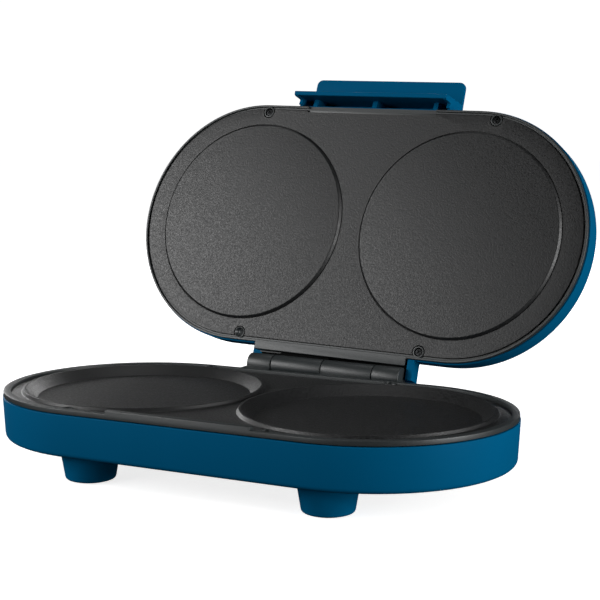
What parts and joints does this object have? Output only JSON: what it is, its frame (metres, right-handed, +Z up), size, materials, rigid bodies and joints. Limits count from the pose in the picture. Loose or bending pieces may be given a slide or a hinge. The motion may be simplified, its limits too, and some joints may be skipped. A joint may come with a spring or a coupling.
{
  "type": "twin pancake maker",
  "caption": "Countertop pancake maker: a racetrack base on feet with round pan pockets side by side, and a hinged lid with raised discs and a lifting handle.",
  "frame": {"origin": "on the ground, under the middle of the whole object's box with the lid open", "axes": "+X to the right along the length, +Y from the front to the hinge, +Z up"},
  "size_m": [0.307, 0.2532, 0.2228],
  "materials": {
    "blue_plastic": "satin",
    "dark_plastic": "satin",
    "coated_plate": "satin",
    "black_screw": "satin",
    "steel": "satin",
    "element_sheath": "satin",
    "bare_aluminium": "satin",
    "foot_rubber": "matte",
    "wire_sleeve": "matte",
    "red_lens": "gloss",
    "green_lens": "gloss"
  },
  "bodies": {
    "base": {"base_shell": "blue_plastic", "foot_pads": "foot_rubber", "base_bezel": "dark_plastic", "base_plate": "coated_plate", "base_case_screws": "black_screw", "base_plate_screws": "steel", "base_heater": "element_sheath", "base_heater_clips": "steel", "base_heat_shield": "bare_aluminium", "base_shield_screws": "steel", "thermostat": "steel", "thermal_fuse": "steel", "terminal_block": "dark_plastic", "cord_gland": "foot_rubber", "cord_clamp": "dark_plastic", "base_leads": "wire_sleeve", "hinge_pin": "steel"},
    "lid": {"lid_shell": "blue_plastic", "lid_bezel": "dark_plastic", "lid_plate": "coated_plate", "lid_case_screws": "black_screw", "lid_plate_screws": "steel", "lid_heater": "element_sheath", "lid_heater_clips": "steel", "lid_heat_shield": "bare_aluminium", "lid_shield_screws": "steel", "power_lens": "red_lens", "ready_lens": "green_lens", "lamp_board": "dark_plastic", "lid_leads": "wire_sleeve"}
  },
  "joints": [
    {"name": "lid_hinge", "type": "hinge", "parent": "base", "child": "lid", "pos_m": [-0.0008, 0.04328, 0.04515], "axis": [0.9999, -0.014, -0.01], "range_deg": [0, 108.71]}
  ]
}
